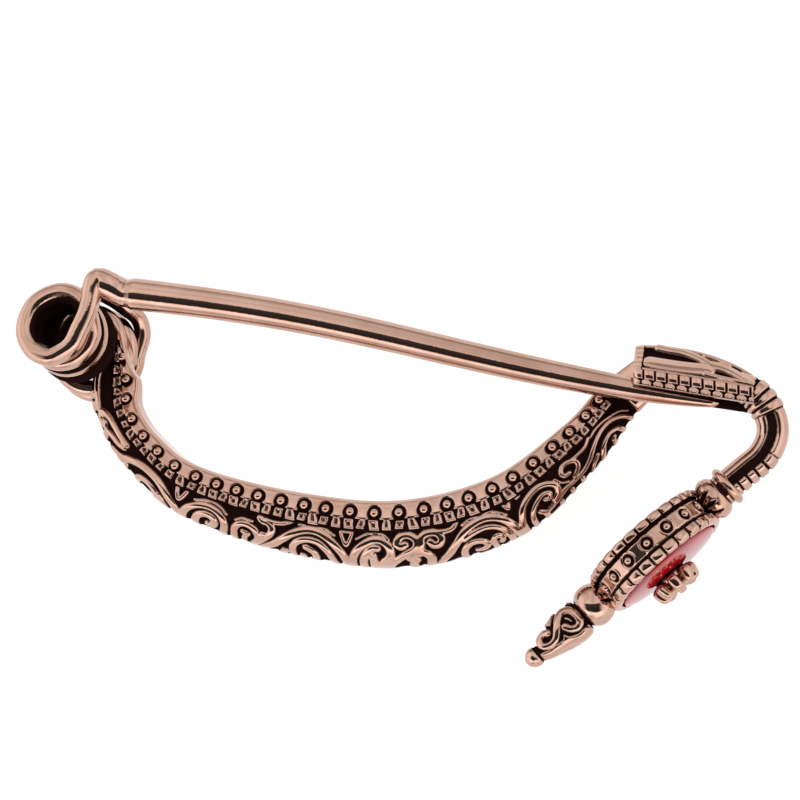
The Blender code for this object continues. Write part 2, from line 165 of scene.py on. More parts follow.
def new_material(name):
    """Return a new material, a shade to start its nodes from, and its shader's sockets by name."""
    made = bpy.data.materials.new(name)
    made.use_nodes = True
    return made, Shade(made.node_tree), made.node_tree.nodes["Principled BSDF"].inputs


def white_card():
    """Matt white sheet that glows a little."""
    made, _, sockets = new_material("white sheet")
    feed(sockets["Base Color"], (TABLE_GREY, TABLE_GREY, TABLE_GREY))
    feed(sockets["Roughness"], 0.9)
    feed(sockets["Emission Color"], (1, 1, 1))
    feed(sockets["Emission Strength"], TABLE_GLOW)
    return made


def put_in_scene(name, skin):
    """Turn a bmesh into an object of the scene."""
    data = bpy.data.meshes.new(name)
    skin.to_mesh(data)
    skin.free()
    made = bpy.data.objects.new(name, data)
    bpy.context.scene.collection.objects.link(made)
    return made


table = bmesh.new()
bmesh.ops.create_grid(table, x_segments=1, y_segments=1, size=TABLE_WIDTH / 2)
table = put_in_scene("table", table)
table.data.materials.append(white_card())

room = bpy.data.worlds.new("room")
room.use_nodes = True
studio = Shade(room.node_tree)
direction = studio.node("ShaderNodeTexCoord")["Generated"]
sides = studio.node("ShaderNodeSeparateXYZ", Vector=direction)
turn = (sides["Y"] * -1).math("ARCTAN2", sides["Z"]) * (180 / math.pi)
stops = [((place - ROOM_START) / ROOM_SPAN, light * RAMP_SHARE) for place, light in ROOM_LIGHT]
ramp = studio.node("ShaderNodeValToRGB", {"stops": stops}, (turn - ROOM_START) * (1 / ROOM_SPAN))["Color"]
sideways = sides["X"].math("ABSOLUTE").clamp(SIDE_START, SIDE_END)
glow = ramp * (direction.noise(scale=2.0, detail=2.0) * CLOUD_LIGHT + LEAST_LIGHT)
background = room.node_tree.nodes["Background"].inputs
feed(background["Strength"], glow * (1 - sideways) + sideways * SIDE_LIGHT)
feed(background["Color"], (1, 0.99, 0.98))
bpy.context.scene.world = room
bpy.context.scene.view_settings.view_transform = "Standard"

# The bow is one cast and chased bronze bar, arched from the spring's neck to the catch. Along each side
# runs a plain border, a row of granules in round cells, a row of square teeth and a band of scrolls,
# which meets its mirror image on the bow's rounded back. The hollows were left dark when it was polished.
BOW_REACH = 61.0
BOW_RISE = 21.9
BOW_STATIONS = (
    # shares of the reach and of the rise, height across the brooch, depth and width, all but shares in mm
    (0.055, 0.005, -1.4, 1.84, 1.84),
    (0.056, -0.082, -1.4, 2.86, 2.07),
    (0.0525, -0.2, -1.4, 5.6, 2.3),
    (0.066, -0.375, -1.12, 5.03, 3.52),
    (0.115, -0.566, -0.63, 5.03, 4.99),
    (0.207, -0.767, -0.21, 5.58, 6.02),
    (0.39, -0.932, 0, 6.39, 6.4),
    (0.582, -1, 0, 6.8, 6.4),
    (0.759, -0.886, 0, 6.53, 6.21),
    (0.885, -0.605, -0.42, 5.3, 4.22),
    (0.946, -0.402, -0.81, 4.62, 2.88),
    (1.003, -0.274, 0.19, 4.08, 0.8),
)
# The section: share of the depth from the inner edge, share of the half width
BOW_SECTION = ((0, 0), (0, 0.3), (0, 0.6), (0.02, 0.74), (0.06, 0.86), (0.15, 0.94), (0.27, 0.98), (0.4, 1),
               (0.56, 1), (0.65, 0.985), (0.72, 0.95), (0.79, 0.87), (0.86, 0.74), (0.92, 0.57), (0.96, 0.42),
               (0.985, 0.22), (1, 0))
# The depth and half width on which the mm round the bow are counted
GIRTH_DEPTH = 6.8
GIRTH_HALF_WIDTH = 3.2
BOW_ROWS = 620
# For each side, how many columns its mesh has round it, how many of them lie on the plain border, and its end
FRONT_COLUMNS = (92, 9, 2.8)
BACK_COLUMNS = (62, 7, 2.7)


def travelled(steps):
    """How far each row lies along a line, from the lengths of its steps."""
    return np.concatenate(([0], np.cumsum(steps)))


def unit(vectors):
    """The vectors with their lengths made 1."""
    return vectors / np.maximum(np.linalg.norm(vectors, axis=-1, keepdims=True), 1e-9)


def flowing(stations, count):
    """Rows that flow smoothly through the stations, at even steps along their first three columns."""
    rows = np.array(stations, float)
    padded = np.vstack((2 * rows[0] - rows[1], rows, 2 * rows[-1] - rows[-2]))
    share = np.linspace(0, 1, 33)[:-1, None]
    fine = [0.5 * (2 * start + (end - before) * share
                   + (2 * before - 5 * start + 4 * end - after) * share ** 2
                   + (3 * start - before - 3 * end + after) * share ** 3)
            for before, start, end, after in zip(padded, padded[1:], padded[2:], padded[3:])]
    fine = np.vstack((*fine, rows[-1:]))
    along = travelled(np.linalg.norm(np.diff(fine[:, :3], axis=0), axis=1))
    even = np.linspace(0, along[-1], count)
    return np.column_stack([np.interp(even, along, column) for column in fine.T]), even


bow_line, bow_along = flowing([(reach * BOW_REACH, rise * BOW_RISE, height, depth, width)
                               for reach, rise, height, depth, width in BOW_STATIONS], BOW_ROWS)

# The ornament is laid out on the unrolled side of the bow, in mm: along it from the neck, and round it
# from the middle of its inner face. It was chased by hand, so granules and teeth are a little uneven.
BORDER_EDGE = 2.9
BAND_END = 72.3
GRANULES = (1.9, 4.6, 7.1, 10.1, 12.9, 15.5, 18.4, 21.4, 24, 26.4, 28.9, 31.5, 34.1, 36.5, 39.2, 41.9, 44.7,
            47.5, 50.1, 52.6, 55.4, 58.1, 60.8, 63.4, 65.7, 68.3, 70.4)
GRANULE_LINE = 3.95
GRANULE_SIZE = 0.47
GRANULE_SINK = 0.12
CELL_WIDTH = 0.86
CELL_RISE = 0.98
CELL_FALL = 1.5
CELL_TAPER = 2.2
CELL_DEPTH = 0.3
TOOTH_EDGE = 4.6
TOOTH_LINE = 5.2
TOOTH_HALF = 0.5
TOOTH_REACH = 0.52
WEDGE_REACH = (1.0, 0.55)
WEDGE_TAPER = 0.3
TOOTH_DISH = 0.55
# How fast the teeth's unevenness runs along the row, then how much they lean, widen and lengthen by it
TOOTH_UNEVENNESS = 2.9
TOOTH_LEAN = 0.22
TOOTH_SPREAD = 0.1
TOOTH_STRETCH = 0.16
SCROLL_EDGE = 5.95
SCROLL_DEPTH = 0.5
STRAND_FULLNESS = 1.28
STRAND_SHOULDER = 0.66
# The scrolls fade towards the middle of the bow's back. Their points are drawn a little closer to it than
# the strands lie.
SCROLL_MIDDLE = 11.3
SCROLL_STRETCH = 0.93
SCROLL_FADE = 0.6
FADE_START = 9.3
FADE_END = 10.8
# Each strand of the scrolls: half its width, then the points that it flows through
SCROLLS = (
    # the leaves and the curl at the neck
    (0.5, (3, 8.6), (4.4, 8.5), (5.8, 8.5), (7, 8.7)),
    (0.44, (5.5, 11.3), (5.6, 9.1)),
    (0.46, (6.7, 11.3), (6.7, 9.1)),
    (0.42, (12.2, 7), (11, 7.05), (9.6, 7.1), (8.4, 7.3), (7.7, 7.9), (7.7, 8.7), (8.25, 9.15),
     (8.8, 8.8), (8.6, 8.3)),
    (0.42, (12.2, 7.6), (11.4, 8), (10.4, 8.2), (9.6, 8.7), (9.6, 9.8), (9.6, 11.3)),
    (0.4, (11, 11.3), (11.2, 10), (12.2, 9.4), (13.2, 8.6)),
    (0.42, (12.2, 11.3), (12.3, 10.2)),
    # the first arch, with a spiral under it
    (0.5, (12.9, 9.3), (13.5, 8.3), (14.5, 7.6), (15.5, 7.2), (16.6, 7.1), (17.7, 7.25), (18.7, 7.8),
     (19.6, 8.7), (20.3, 9.7), (20.6, 11.3)),
    (0.3, (13.3, 11.3), (13.4, 9.6)),
    (0.42, (15.2, 11.3), (15.4, 9.8), (16, 8.9), (16.9, 8.65), (17.7, 9.1), (18, 10.1), (18, 11.3)),
    (0.42, (19, 11.3), (18.9, 10.3), (18.2, 9.2)),
    (0.24, (20, 6.5), (20.25, 7.2), (20.6, 7.8), (20.95, 7.2), (21.15, 6.5)),
    # the second arch
    (0.42, (21, 11.3), (21.15, 9.8), (21.6, 8.6), (22.3, 7.8), (23.2, 7.3), (24.3, 7.2), (25.3, 7.6),
     (25.9, 8.5), (25.9, 9.6), (25.5, 11.3)),
    (0.16, (22.3, 6.95), (23.3, 6.6), (24.4, 6.5), (25.4, 6.8), (26.1, 7.35)),
    (0.42, (22.5, 11.3), (22.6, 9.8), (23, 8.8), (23.8, 8.25), (24.6, 8.45), (24.85, 9.1), (24.6, 9.7),
     (24.15, 9.7)),
    # the curl and the tendril before the great stem
    (0.38, (26.9, 11.3), (27, 10), (27.1, 8.9), (27.5, 8.15), (28.3, 7.8), (29.2, 8.1), (29.7, 8.9),
     (29.6, 9.8), (29.1, 10.6)),
    (0.3, (28.1, 10.4), (28.25, 9.6), (28.6, 9.1), (28.1, 8.9)),
    (0.16, (27.2, 7.6), (27.9, 7.2), (29, 7.25)),
    (0.38, (29.3, 10.4), (29.9, 9.7), (30.5, 9), (31.05, 8.3), (31.2, 7.55), (30.75, 7), (30.1, 6.9),
     (29.75, 6.65)),
    (0.4, (28.9, 11.3), (29.8, 9.4), (30.3, 8.6)),
    (0.24, (30.4, 6.7), (31.4, 6.8), (32.4, 6.65), (33.3, 6.2)),
    # the great stem and the spiral under it
    (0.44, (29.9, 11.3), (30.6, 10.4), (31.6, 9.4), (32.5, 8.4), (33.5, 7.5), (34.6, 6.95), (35.7, 6.8),
     (36.8, 7.1), (37.8, 7.8), (38.6, 8.8), (39, 9.9), (39.1, 11.3)),
    (0.14, (34, 6.45), (35.3, 6.2), (36.7, 6.4), (37.9, 6.95)),
    (0.38, (33.4, 11.3), (33.4, 10.2), (33.5, 9.2), (34.1, 8.35), (35.1, 7.9), (36.2, 8), (37, 8.7),
     (37.5, 9.6), (37.9, 11.3)),
    (0.38, (35.7, 11.3), (35.9, 10.3), (35.8, 9.6), (35.3, 9.15), (34.95, 8.95)),
    (0.4, (32.1, 11.3), (32.6, 10.2)),
    (0.34, (34.5, 11.3), (34.5, 10.4)),
    (0.2, (39.1, 6.4), (38.5, 6.4), (38.8, 7.2), (39.2, 7.85), (39.5, 7.2), (39.65, 6.4), (39.1, 6.4)),
    # the third arch
    (0.42, (39.6, 11.3), (39.7, 9.8), (40.1, 8.6), (40.8, 7.7), (41.7, 7.1), (42.6, 7.05), (43.3, 7.5),
     (43.6, 8.3), (43.4, 9.1), (42.8, 9.8), (42.5, 10.4), (42.4, 11.3)),
    (0.14, (40.2, 7.05), (41.2, 6.5), (42.3, 6.35), (43, 6.55), (43.5, 7)),
    (0.4, (40.7, 11.3), (40.8, 9.7), (41.2, 8.7), (41.8, 8), (42.3, 7.95)),
    (0.4, (41.7, 11.3), (41.8, 9.9), (41.8, 8.8)),
    # the pair of tendrils
    (0.4, (43.1, 11.3), (43.4, 10.3), (44.2, 9.4), (45.1, 8.75), (45.9, 8.3), (46.3, 7.6), (46, 6.95),
     (45.3, 6.65), (44.6, 6.85), (44.3, 7.4), (44.65, 7.85), (45.1, 7.65)),
    (0.4, (46.3, 8.9), (46.65, 7.9), (46.8, 7.1), (47.5, 6.75), (48.4, 6.9), (48.8, 7.5), (48.5, 8.1),
     (47.9, 8.1), (47.65, 7.7)),
    (0.26, (48, 6.7), (49.2, 6.9), (50.1, 6.8), (50.6, 6.3)),
    (0.4, (45.5, 11.3), (45.5, 10.3), (45.9, 9.7)),
    (0.52, (45.4, 9.3), (46.1, 8.7), (46.5, 8.1)),
    (0.44, (46.2, 8.5), (47, 9), (47.3, 9.8), (47, 11.3)),
    # the fourth arch
    (0.4, (47.9, 11.3), (48.4, 10.4), (49.3, 9.4), (50.2, 8.4), (51.1, 7.5), (52.2, 7), (53.4, 6.85),
     (54.5, 7.2), (55.3, 8), (55.7, 9.2), (55.9, 11.3)),
    (0.14, (51.1, 6.75), (52.3, 6.35), (53.5, 6.3), (54.7, 6.65), (55.6, 7.4)),
    (0.3, (50.9, 8.3), (52, 7.9), (53.2, 7.75), (54.2, 8.15), (54.8, 9), (55, 10), (55, 11.3)),
    (0.34, (50.4, 11.3), (50.4, 10.4), (50.7, 9.5), (51.5, 8.95), (52.4, 9.15), (52.8, 9.8), (52.4, 10.4),
     (51.8, 10.2)),
    (0.28, (53.4, 11.3), (53.4, 10.3), (53.5, 9.5), (54, 9.2), (54.3, 9.7), (54.1, 10.3)),
    (0.2, (55.7, 6.4), (56, 6.95), (56.3, 6.4)),
    (0.2, (57.2, 6.35), (57.5, 6.3)),
    # the round spiral
    (0.34, (56.3, 11.3), (56.35, 9.8), (56.7, 8.6), (57.3, 7.6), (58.3, 7), (59.5, 6.8), (60.5, 7.2),
     (61, 8), (60.8, 8.9), (60.1, 9.4)),
    (0.26, (57.3, 11.3), (57.4, 9.8), (57.8, 8.8), (58.6, 8.1), (59.5, 7.8), (60.1, 8.2), (59.8, 8.7),
     (59.4, 8.5)),
    (0.26, (58.6, 11.3), (58.6, 10), (58.3, 9.4)),
    # the last tendril and the last arch, which runs under the catch
    (0.28, (63, 9), (63.9, 8.4), (64.1, 7.6), (63.5, 7), (62.7, 6.9), (62.2, 7.4), (62.3, 8),
     (62.8, 8.1)),
    (0.22, (63.5, 7.05), (64.6, 7.15), (65.7, 7.1), (66.6, 6.6)),
    (0.14, (61.3, 7.4), (61.6, 8.3), (62.2, 8.9)),
    (0.28, (58.9, 10.1), (60.2, 9.7), (61.5, 9.35), (63, 9.5), (64.2, 9.4), (65.3, 8.9), (66.2, 8.1),
     (67.2, 7.5), (68.3, 7.25), (69.4, 7.5), (70.3, 8.3), (70.9, 9.4), (71.2, 11.3)),
    (0.16, (66.9, 6.75), (67.6, 6.55), (68.7, 6.65), (69.8, 7.1), (70.8, 7.7), (71.5, 8.6)),
    (0.28, (66.2, 11.3), (66.6, 9.9), (67.3, 8.9), (68.3, 8.55), (69.1, 9.1), (69.4, 10), (69.5, 11.3)),
    (0.24, (67.9, 11.3), (68.1, 10), (68.4, 9.6)),
    (0.24, (64.6, 11.3), (65.2, 10.2), (66.1, 9.3)),
    (0.26, (61.8, 11.3), (61.9, 10.3)),
    (0.26, (63.2, 11.3), (63.4, 10.3)),
    (0.26, (60.3, 11.3), (60.4, 10.5)),
)


def slope(low, high, values):
    """A smooth rise from 0 at low to 1 at high."""
    share = np.clip((values - low) / (high - low), 0, 1)
    return share * share * (3 - 2 * share)


def strand_cover(along, around, strands):
    """How fully rounded strands cover each spot: 1 on a strand's middle, 0 beside it."""
    cover = np.zeros(along.shape)
    for half, *points in strands:
        line = flowing([(x, y, 0) for x, y in points], 12 * len(points))[0]
        low = line.min(axis=0) - half * 1.3
        high = line.max(axis=0) + half * 1.3
        near = (along > low[0]) & (along < high[0]) & (around > low[1]) & (around < high[1])
        away = np.hypot(along[near][:, None] - line[:, 0], around[near][:, None] - line[:, 1]).min(axis=1)
        away /= half
        shoulder = STRAND_SHOULDER * (1 - slope(0.6, 1.15, away))
        crown = (1 - STRAND_SHOULDER) * np.clip(1 - away ** 2, 0, 1)
        cover[near] = np.maximum(cover[near], shoulder + crown)
    return cover


def granule_cells(along, around):
    """How deep each spot lies in the round cells of the granules, which end in a point between the teeth."""
    down = around - GRANULE_LINE
    width = CELL_WIDTH * np.where(down > 0, np.clip(1.08 - down / CELL_TAPER, 0.25, 1), 1)
    height = np.where(down > 0, CELL_FALL, CELL_RISE)
    away = np.minimum.reduce([np.hypot((along - place) / width, down / height) for place in GRANULES])
    return 1 - slope(0.82, 1.05, away)


def tooth_row(along, around):
    """How fully the hollow teeth cover each spot: squares under the granules and wedges between those."""
    cover = np.zeros(along.shape)
    down = around - TOOTH_LINE
    wedge = (np.maximum(np.where(down < 0, TOOTH_HALF + WEDGE_TAPER * down, TOOTH_HALF), 0.12),
             np.where(down < 0, *WEDGE_REACH))
    middles = [(first + second) / 2 for first, second in zip(GRANULES, GRANULES[1:])]
    for place, (width, reach) in ([(spot, (TOOTH_HALF, TOOTH_REACH)) for spot in GRANULES]
                                  + [(spot, wedge) for spot in middles]):
        uneven = math.sin(TOOTH_UNEVENNESS * place)
        beside = np.abs(along - place - TOOTH_LEAN * uneven * down) / (1 + TOOTH_SPREAD * uneven)
        away = np.maximum(beside / width, np.abs(down) / reach / (1 + TOOTH_STRETCH * uneven))
        rim = 1 - slope(0.8, 1.12, away)
        dish = TOOTH_DISH * (1 - slope(0.3, 0.62, away))
        cover = np.maximum(cover, rim - dish)
    return cover


def bow_relief(along, around):
    """The height of the ornament on the bow in mm, and how hollow each spot is."""
    band = slope(BORDER_EDGE - 0.1, BORDER_EDGE + 0.1, around) * slope(-0.2, 0.2, BAND_END - along)
    scroll_field = slope(SCROLL_EDGE - 0.1, SCROLL_EDGE + 0.15, around)
    tooth_field = slope(TOOTH_EDGE - 0.1, TOOTH_EDGE + 0.1, around) * (1 - scroll_field)
    unstretched = SCROLL_MIDDLE - (SCROLL_MIDDLE - around) * SCROLL_STRETCH
    strands = strand_cover(along, unstretched, [(half * STRAND_FULLNESS, *line) for half, *line in SCROLLS])
    plain = (1 - tooth_field) * (1 - scroll_field) * (1 - granule_cells(along, around))
    raised = np.maximum(plain, np.maximum(tooth_row(along, around) * tooth_field, strands * scroll_field))
    hollow = band * (1 - raised)
    fade = SCROLL_FADE * slope(FADE_START, FADE_END, around)
    return -hollow * np.where(around > SCROLL_EDGE, SCROLL_DEPTH * (1 - fade), CELL_DEPTH), hollow


def side_columns(count, plain, plain_end):
    """How far round one side each column lies: few are on the plain border and many on the carved band."""
    return np.concatenate((np.linspace(0, plain_end, plain),
                           np.linspace(BORDER_EDGE, section_arc[-1], count - plain)))


def bow_places(along, around, front):
    """The place on the plain bow of each spot on its unrolled side."""
    line = np.column_stack([np.interp(along[:, 0], bow_along, column) for column in bow_line.T])
    tangent = np.gradient(line[:, :3], axis=0)
    outward = unit(np.column_stack((tangent[:, 1], -tangent[:, 0])))
    depth = line[:, 3:4] * (np.interp(around, section_arc, section[:, 0]) - 0.5)
    half = line[:, 4:5] / 2 * np.interp(around, section_arc, section[:, 1])
    height = line[:, 2:3] + half * (1 if front else -1)
    return np.stack((line[:, 0:1] + outward[:, 0:1] * depth, line[:, 1:2] + outward[:, 1:2] * depth, height),
                    axis=2)


def carved_skin(name, places, heights, hollows):
    """Make a mesh of closed rings of places, raised along its normals, that knows how much patina and painted
    shade each spot has.
    """
    rows, columns = places.shape[:2]
    wrapped = np.concatenate((places[:, -2:-1], places, places[:, 1:2]), axis=1)
    normals = unit(np.cross(np.gradient(wrapped, axis=1)[:, 1:-1], np.gradient(places, axis=0)))
    normals *= np.sign((normals * (places - places.mean(axis=1, keepdims=True))).sum())
    raised = (places + normals * heights[..., None]) * MM + np.array(AXIS)
    skin = bmesh.new()
    bmesh.ops.create_grid(skin, x_segments=columns - 1, y_segments=rows - 1, size=1)
    layer = skin.verts.layers.float.new("hollow")
    order = sorted(skin.verts, key=lambda vert: (round(vert.co.y, 5), round(vert.co.x, 5)))
    for vert, place, hollow in zip(order, raised.reshape(-1, 3), hollows.ravel()):
        vert.co = place
        vert[layer] = hollow
    return finish_skin(name, skin)


def finish_skin(name, skin):
    """Close the seams of a bmesh, turn its faces out and return it as a smooth object."""
    bmesh.ops.remove_doubles(skin, verts=skin.verts, dist=0.004 * MM)
    ends = [edge for edge in skin.edges if edge.is_boundary]
    for edge in ends:
        edge.smooth = False
    bmesh.ops.holes_fill(skin, edges=ends, sides=0)
    bmesh.ops.recalc_face_normals(skin, faces=skin.faces)
    made = put_in_scene(name, skin)
    made.data.shade_smooth()
    return made


section = flowing([(share, half, 0) for share, half in BOW_SECTION], 160)[0]
section_arc = travelled(np.hypot(*(np.diff(section[:, :2], axis=0) * (GIRTH_DEPTH, GIRTH_HALF_WIDTH)).T))
front_grid = np.meshgrid(side_columns(*FRONT_COLUMNS), bow_along)[::-1]
back_grid = np.meshgrid(side_columns(*BACK_COLUMNS)[-2::-1], bow_along)[::-1]
bow = carved_skin("bow_scrollwork", *(np.concatenate(halves, axis=1) for halves in zip(
    (bow_places(*front_grid, True), *bow_relief(*front_grid)),
    (bow_places(*back_grid, False), *bow_relief(*back_grid)))))

BRIGHT_BRONZE = (0.57, 0.362, 0.288)
WARM_BRONZE = (0.5, 0.302, 0.228)
# The patina's colour, also used as painted shade
PATINA_AND_SHADE = (0.016, 0.006, 0.005)


def bronze(name):
    """Rose bronze, polished by hand on its high places and left with a near-black patina in its hollows; the
    same near-black is also painted shade where the hollow attribute marks shaded places.
    """
    made, start, sockets = new_material(name)
    where = start.node("ShaderNodeTexCoord")["Object"]
    hollow = start.node("ShaderNodeAttribute", {"attribute_name": "hollow"})["Fac"]
    cloud = where.noise(scale=260.0, detail=4.0)
    grain = where.noise(scale=2600.0, detail=3.0)
    dark = (hollow + (grain - 0.5) * 0.3).clamp(0.22, 0.6)
    feed(sockets["Base Color"], dark.mix(cloud.clamp(0.35, 0.7).mix(BRIGHT_BRONZE, WARM_BRONZE), PATINA_AND_SHADE))
    feed(sockets["Metallic"], 1 - dark)
    feed(sockets["Specular IOR Level"], 0)
    feed(sockets["Roughness"], dark * 0.4 + (cloud * 0.07 + 0.035))
    bump = start.node("ShaderNodeBump", Height=grain + cloud * 2.0, Strength=0.16, Distance=0.05 * MM)
    feed(sockets["Normal"], bump["Normal"])
    return made


BRONZE = bronze("rose bronze")


def dress(piece, material, slot, *nodes):
    """Give a finished piece of the fibula its material, and let it stand for its CAD nodes. The slot is not
    used.
    """
    piece.data.materials.append(material)
    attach(piece, "fibula")
    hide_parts(*nodes)


dress(bow, BRONZE, "bronze", "bow")


def add_ball(skin, middle, radius):
    """Add a small ball to a bmesh, with its place and radius in mm."""
    bmesh.ops.create_icosphere(skin, subdivisions=3, radius=radius * MM,
                               matrix=Matrix.Translation(AXIS + Vector(middle) * MM))


granules = bmesh.new()
for along in GRANULES:
    for front in (True, False):
        # Three spots close together show the bow's direction there
        spots = np.array([[along - 0.05, along, along + 0.05]]).T
        middle = bow_places(spots, np.full((3, 1), GRANULE_LINE), front)[1, 0]
        add_ball(granules, middle - (0, 0, GRANULE_SINK if front else -GRANULE_SINK), GRANULE_SIZE)
granules = finish_skin("granules", granules)
dress(granules, BRONZE, "bronze", "bow")

# The spring and the pin are one hammered wire. From the bow's neck it winds once to the back of the coil,
# crosses over the coil's top to the front, winds there again and swells into the pin's thick rod.
WIRE_RADIUS = 0.92
WIRE_PITCH = 1.92
NECK_HEIGHT = -1.4
BACK_HEIGHT = -5.88
FIRST_HEIGHT = 0.25
NECK_TURN = math.radians(14)
BACK_POINTS = 17
FRONT_POINTS = 18
FRONT_TURNS = 2
FRONT_HEIGHT = FIRST_HEIGHT + (FRONT_TURNS + 1.5) * WIRE_PITCH
COIL_MIDDLE = (-0.6, 0.4)
FRONT_COIL_RADIUS = 3.15
BACK_COIL_RADIUS = 4.25
COIL_DROP = 1.0
# The wire's spots over the coil's top, and round its foremost turn to the pin: the angle in degrees, how far
# the wire stands out there (as a share of the bulge, then in mm), and how much of the climb is done
TOP_BULGE = 2.05
TOP_SPOTS = ((24, 0.57, 0.05), (38, 0.93, 0.21), (50, 0.95, 0.48), (62, 1, 0.69), (76, 1, 0.87),
             (97, 0.5, 0.98), (131, 0.15, 1))
LOOSE_SPOTS = ((50, 0.4, 0.1), (90, 0.65, 0.22), (135, 0.55, 0.36), (180, 0.4, 0.5), (220, 0.25, 0.62),
               (256, 0.1, 0.75), (279, -0.2, 0.82), (312, -0.35, 0.92), (349, -0.35, 0.98), (376, 0.5, 1),
               (393, 1.55, 1), (403, 2.55, 1))
LOOSE_LENGTH = 34
LOOSE_SWELL = 0.14
SHOULDER_LENGTH = 3.4
# The pin's root, and the wire's last points before it as steps from there
ROOT_PLACE = (COIL_MIDDLE[0] + FRONT_COIL_RADIUS + 3.9, 3.8, FRONT_HEIGHT - 1.1)
ROOT_STEPS = ((-2.4, 1.3, 0.87), (-1.5, 0.85, 0.6), (-0.7, 0.33, 0.25))
ROOT_RADIUS = 1.5
ROOT_SHARE = 0.02
PIN_RADIUS = 1.7
PIN_LENGTH = 63.2
PIN_TIP_SHARE = 0.27
PIN_SLOPE = math.radians(12.25)
PIN_ARCH = 0.42
PIN_SWAY = 0.46
PIN_LEAN = 4.1
WIRE_STEP = 0.26
PIN_STEP = 0.364
WIRE_SIDES = 30
POLISHED_ROWS = 38


def coil_spot(angle, height, extra=0.0):
    """The wire's middle at an angle and a height of the coil, which widens and sinks to the back."""
    share = (FRONT_HEIGHT - height) / (FRONT_HEIGHT - BACK_HEIGHT)
    radius = FRONT_COIL_RADIUS + (BACK_COIL_RADIUS - FRONT_COIL_RADIUS) * share + extra
    return (COIL_MIDDLE[0] + COIL_DROP * share / 2 + radius * math.cos(angle),
            COIL_MIDDLE[1] - COIL_DROP * share + radius * math.sin(angle), height)


def climbing(spots, start, end, bulge):
    """The wire's points at spots of the coil, between two heights."""
    return [coil_spot(math.radians(angle), start + (end - start) * climb, bulge * out)
            for angle, out, climb in spots]


def back_turns():
    """The wire's points from the neck, once round, to the turn that lies on the table."""
    second = BACK_HEIGHT + WIRE_PITCH
    points = []
    for index in range(2 * BACK_POINTS + 1):
        turn = index / BACK_POINTS
        if turn < 1:
            height = NECK_HEIGHT + (second - NECK_HEIGHT) * slope(0, 0.75, turn)
        else:
            height = second + (BACK_HEIGHT - second) * slope(1, 1.5, turn)
        points.append(coil_spot(math.tau * turn + NECK_TURN * (1 - turn / 2), height))
    return points


def front_turns():
    """The wire's points round the turns before the neck."""
    turns = np.arange(round((FRONT_TURNS + 0.5) * FRONT_POINTS) + 1) / FRONT_POINTS
    return [coil_spot(math.pi + math.tau * turn, FIRST_HEIGHT + WIRE_PITCH * turn) for turn in turns]


def pin_spot(share):
    """The middle of the pin, from its root (0) to its tip (1)."""
    bend = PIN_ARCH * math.sin(math.pi * share) + PIN_SWAY * math.sin(math.tau * share)
    reach = PIN_LENGTH * share
    return (ROOT_PLACE[0] + math.cos(PIN_SLOPE) * reach + math.sin(PIN_SLOPE) * bend,
            ROOT_PLACE[1] - math.sin(PIN_SLOPE) * reach + math.cos(PIN_SLOPE) * bend,
            ROOT_PLACE[2] - PIN_LEAN * share)


def pin_radius(share):
    """The pin's radius, which narrows slowly and then fast near the tip."""
    return PIN_RADIUS * (1 - 0.2 * share - (0.8 - PIN_TIP_SHARE) * share ** 9)


def swept(line, radii, sides):
    """The places round a rod along a line, with its own radius at each row."""
    tangents = unit(np.gradient(line, axis=0))
    angles = np.linspace(0, math.tau, sides + 1)[:, None]
    side = np.cross(tangents[0], (0.1, 0.2, 1))
    places = []
    for middle, tangent, radius in zip(line, tangents, radii):
        side = unit(side - tangent * side.dot(tangent))
        places.append(middle + radius * (side * np.cos(angles) + np.cross(tangent, side) * np.sin(angles)))
    return np.array(places)


loose_start = FIRST_HEIGHT + (FRONT_TURNS + 0.5) * WIRE_PITCH
coil_points = [(3.6, -2.2, NECK_HEIGHT), (3.55, -0.9, NECK_HEIGHT), *back_turns(),
               *climbing(TOP_SPOTS, BACK_HEIGHT, FIRST_HEIGHT, TOP_BULGE), *front_turns(),
               *climbing(LOOSE_SPOTS, loose_start, FRONT_HEIGHT, 1),
               *(np.add(pin_spot(0), step) for step in ROOT_STEPS)]
coil_length = sum(math.dist(*pair) for pair in zip(coil_points, coil_points[1:]))
coil_line = flowing(coil_points, round(coil_length / WIRE_STEP))[0][:-2]
coil_left = np.arange(len(coil_line))[::-1] * WIRE_STEP
coil_radii = (WIRE_RADIUS + LOOSE_SWELL * (1 - slope(LOOSE_LENGTH - 6, LOOSE_LENGTH, coil_left))
              + (ROOT_RADIUS - WIRE_RADIUS - LOOSE_SWELL) * (1 - slope(0, SHOULDER_LENGTH, coil_left)))
pin_shares = np.linspace(0, 1, round(PIN_LENGTH / PIN_STEP))
pin_line = np.array([pin_spot(share) for share in pin_shares])
pin_radii = np.minimum(WIRE_RADIUS + (PIN_RADIUS - WIRE_RADIUS) * slope(0, ROOT_SHARE, pin_shares),
                       pin_radius(pin_shares))
pin_radii *= np.sqrt(1 - 0.96 * slope(0.985, 1.0, pin_shares) ** 2)
pin_radii = np.maximum(pin_radii, np.where(pin_shares < ROOT_SHARE, ROOT_RADIUS, 0))
wire_line = np.vstack((coil_line, pin_line))
wire_radii = np.concatenate((coil_radii, pin_radii))
wire_places = swept(wire_line, wire_radii, WIRE_SIDES)
